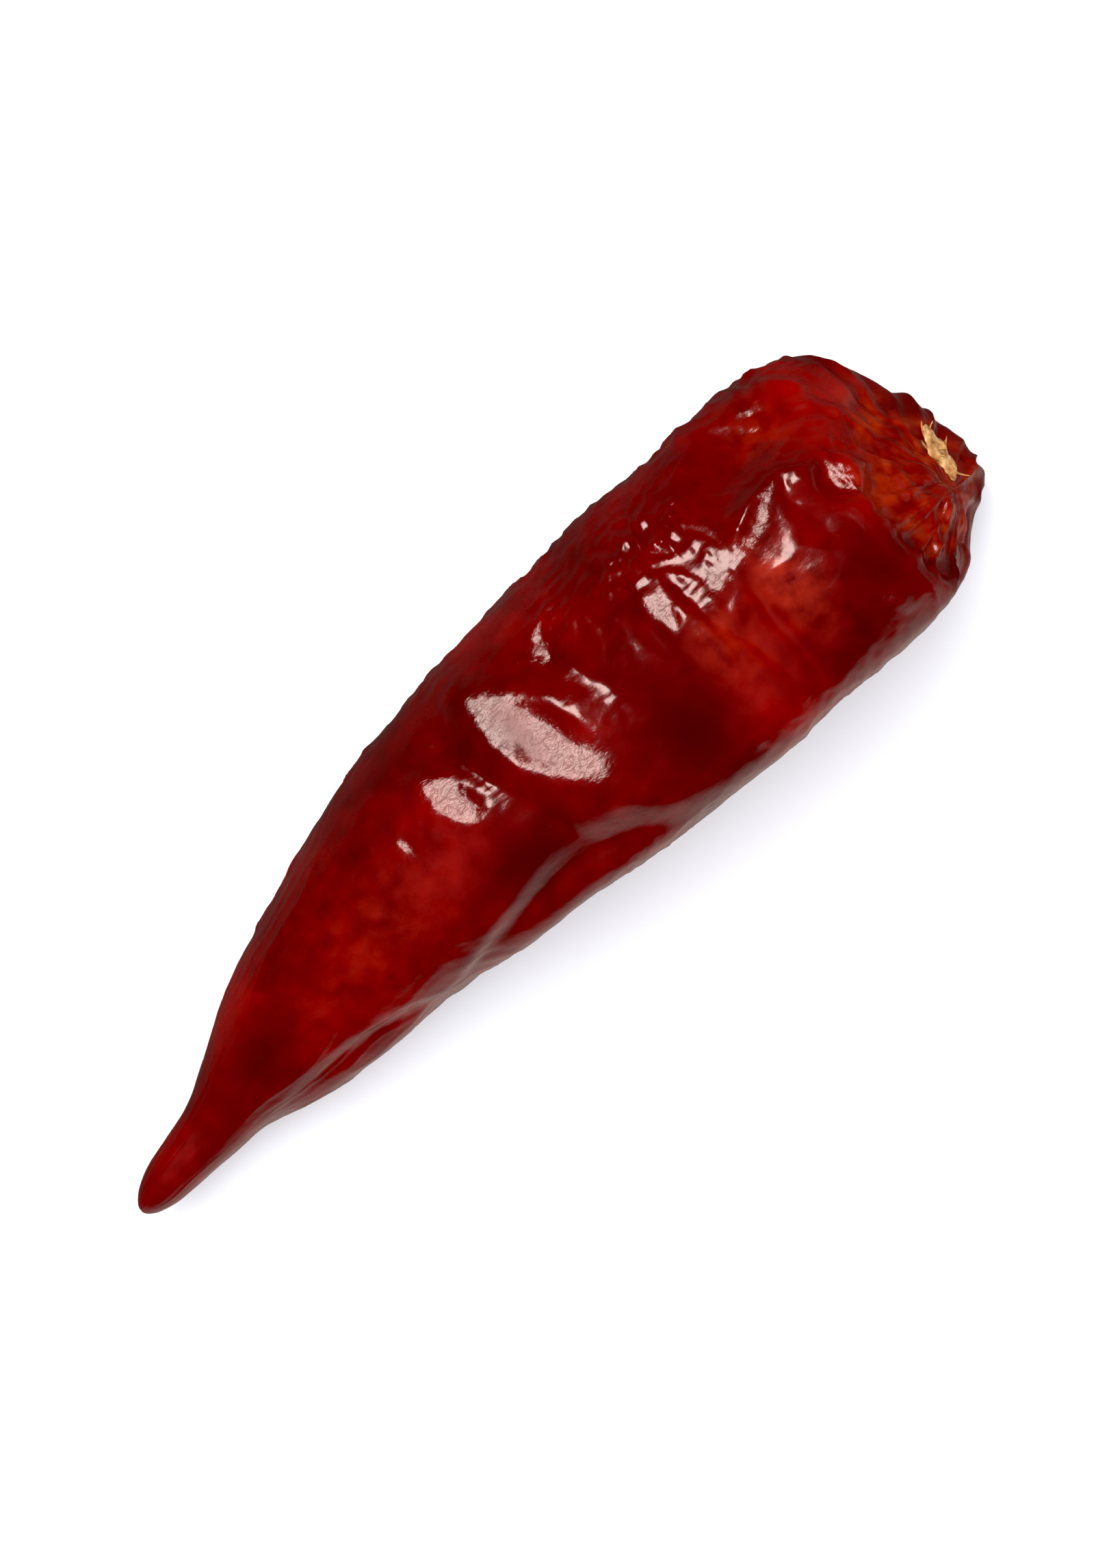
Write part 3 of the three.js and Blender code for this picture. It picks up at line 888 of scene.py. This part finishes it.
class CHILLI_OT_pith(bpy.types.Operator):
    """Models the torn shred of dry pith in the stem end"""
    bl_idname = "chilli.pith"
    bl_label = "Shred of pith"

    def execute(self, context):
        pod = bpy.data.objects.get("pod_skin")
        if pod is None:
            raise RuntimeError("make the pod first")
        middle = (PITH_LOW + PITH_HIGH) / 2
        _, place, _, _ = pod.closest_point_on_mesh(Vector(middle * MM))
        normal = Vector(PITH_FACING).normalized()
        across = Vector((0.0, 1.0, 0.0)).cross(normal).normalized()
        along = normal.cross(across)
        bm = bmesh.new()
        for settings in PITH_STRANDS:
            pith_strand(bm, *settings)
        to_place = Matrix.Translation(Vector(place) / MM + normal * PITH_LIFT)
        turned = Matrix((along, across, normal)).transposed().to_4x4()
        bmesh.ops.transform(bm, verts=bm.verts, matrix=to_place @ turned)
        piece = finish_piece(bm, "pith_fibres", dry_pith())
        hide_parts("pith_shred")
        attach(piece, "root")
        return {"FINISHED"}


def soft_box(name, direction, distance, size, colour, power, shows_in_gloss):
    """A rectangular soft light aimed at the origin."""
    light = bpy.data.lights.new(name, "AREA")
    light.shape = "RECTANGLE"
    light.size, light.size_y = size
    light.energy = power
    light.color = colour[:3]
    lamp = bpy.data.objects.new(name, light)
    back = Vector(direction).normalized()
    turned = back.to_track_quat("Z", "Y").to_matrix().to_4x4()
    lamp.matrix_world = Matrix.Translation(back * distance) @ turned
    lamp.visible_glossy = shows_in_gloss
    bpy.context.scene.collection.objects.link(lamp)


def set_tones(view):
    """Plain sRGB tones, with the faint haze of stray light taken off the darkest ones."""
    view.view_transform = "Standard"
    view.use_curve_mapping = True
    view.curve_mapping.black_level = (HAZE, HAZE, HAZE)
    view.curve_mapping.update()


def studio_world():
    """A dark room over a pale sheet, as the gloss sees it: bright low down on the -Y side,
    darker on the +Y and +X sides. The camera sees a plain white backdrop."""
    world = bpy.data.worlds.new("studio")
    world.use_nodes = True
    tree = world.node_tree
    tree.nodes.clear()
    way = node(tree, "ShaderNodeTexCoord").outputs["Generated"]
    parts = node(tree, "ShaderNodeSeparateXYZ", Vector=way)
    low = node(tree, "ShaderNodeMapRange", {"From Min": 0.28, "From Max": -0.20},
               Value=parts.outputs["Z"])
    side = node(tree, "ShaderNodeMapRange", {
        "From Min": 0.15, "From Max": -0.7, "To Min": 0.08, "To Max": 0.80},
        Value=parts.outputs["Y"])
    away = node(tree, "ShaderNodeMapRange", {
        "From Min": 0.2, "From Max": 0.8, "To Min": 1.0, "To Max": 0.35},
        Value=parts.outputs["X"])
    sides = node(tree, "ShaderNodeMath", {"operation": "MULTIPLY"},
                 _0=side.outputs[0], _1=away.outputs[0])
    glow = node(tree, "ShaderNodeMath", {"operation": "MULTIPLY"},
                _0=low.outputs[0], _1=sides.outputs[0])
    room = node(tree, "ShaderNodeMath", {"operation": "ADD", 1: 0.008}, _0=glow.outputs[0])
    seen = node(tree, "ShaderNodeLightPath").outputs["Is Camera Ray"]
    gloss = node(tree, "ShaderNodeBackground", {"Color": linear("#FFE4DA")},
                 Strength=room.outputs[0])
    backdrop = node(tree, "ShaderNodeBackground", {"Color": linear("#FFFFFF"), "Strength": 1.0})
    both = node(tree, "ShaderNodeMixShader", Fac=seen, _1=gloss.outputs[0], _2=backdrop.outputs[0])
    node(tree, "ShaderNodeOutputWorld", Surface=both.outputs[0])
    return world


class CHILLI_OT_stage(bpy.types.Operator):
    """Makes the sheet, the lights, the surroundings and the camera"""
    bl_idname = "chilli.stage"
    bl_label = "Stage"

    def execute(self, context):
        stage = context.scene.chilli_stage
        bm = bmesh.new()
        bmesh.ops.create_grid(bm, x_segments=1, y_segments=1, size=stage.floor_width / MM / 2)
        sheet = finish_piece(bm, "sheet", white_paper(stage.floor_colour))
        sheet.visible_glossy = False

        key_from = (KEY_ASIDE, math.sin(math.radians(KEY_TILT)), math.cos(math.radians(KEY_TILT)))
        soft_box("key", key_from, KEY_DISTANCE, KEY_SIZE,
                 linear(stage.key_colour), stage.key_power, True)
        soft_box("overhead", (0.0, 0.0, 1.0), OVERHEAD_DISTANCE, OVERHEAD_SIZE,
                 linear(stage.fill_colour), stage.fill_power, False)

        context.scene.world = studio_world()
        set_tones(context.scene.view_settings)
        self.add_camera(context, stage)
        return {"FINISHED"}

    def add_camera(self, context, stage):
        """A camera straight above the pod, turned and raised so that the pod fills the picture."""
        right = np.array((math.cos(stage.roll), -math.sin(stage.roll), 0.0))
        up = np.array((math.sin(stage.roll), math.cos(stage.roll), 0.0))
        points = np.array([v.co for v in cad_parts["pod"].data.vertices])
        across, upward = points @ right, points @ up
        middle = (right * (across.min() + across.max()) / 2
                  + up * (upward.min() + upward.max()) / 2)
        data = bpy.data.cameras.new("camera")
        data.lens = stage.lens
        data.clip_start = NEAR_CLIP
        half = math.atan(data.sensor_width / 2 / data.lens * PICTURE_SHAPE)
        wide = (across.max() - across.min()) / stage.fill
        height = wide / 2 / math.tan(half) + (POD_HIGH[2] - POD_LOW[2]) * MM / 2
        camera = bpy.data.objects.new("camera", data)
        turned = Matrix((right, up, (0.0, 0.0, 1.0))).transposed().to_4x4()
        camera.matrix_world = Matrix.Translation((middle[0], middle[1], height)) @ turned
        context.scene.collection.objects.link(camera)
        context.scene.camera = camera


class CHILLI_PT_panel(bpy.types.Panel):
    """Shows the settings and the buttons"""
    bl_idname = "CHILLI_PT_panel"
    bl_label = "Dried Chilli"
    bl_space_type = "VIEW_3D"
    bl_region_type = "UI"
    bl_category = "Dried Chilli"

    def draw(self, context):
        for group, operators in (("chilli_pod", (CHILLI_OT_pod, CHILLI_OT_pith)),
                                 ("chilli_stage", (CHILLI_OT_stage,))):
            settings = getattr(context.scene, group)
            for name in settings.bl_rna.properties.keys():
                if name not in ("rna_type", "name"):
                    self.layout.prop(settings, name)
            for operator in operators:
                self.layout.operator(operator.bl_idname)


CLASSES = (
    PodSettings,
    StageSettings,
    CHILLI_OT_pod,
    CHILLI_OT_pith,
    CHILLI_OT_stage,
    CHILLI_PT_panel,
)


def register():
    for cls in CLASSES:
        bpy.utils.register_class(cls)
    bpy.types.Scene.chilli_pod = bpy.props.PointerProperty(type=PodSettings)
    bpy.types.Scene.chilli_stage = bpy.props.PointerProperty(type=StageSettings)


def unregister():
    del bpy.types.Scene.chilli_pod
    del bpy.types.Scene.chilli_stage
    for cls in reversed(CLASSES):
        bpy.utils.unregister_class(cls)


def main():
    register()
    bpy.ops.chilli.pod()
    bpy.ops.chilli.pith()
    bpy.ops.chilli.stage()


if __name__ == "__main__":
    main()
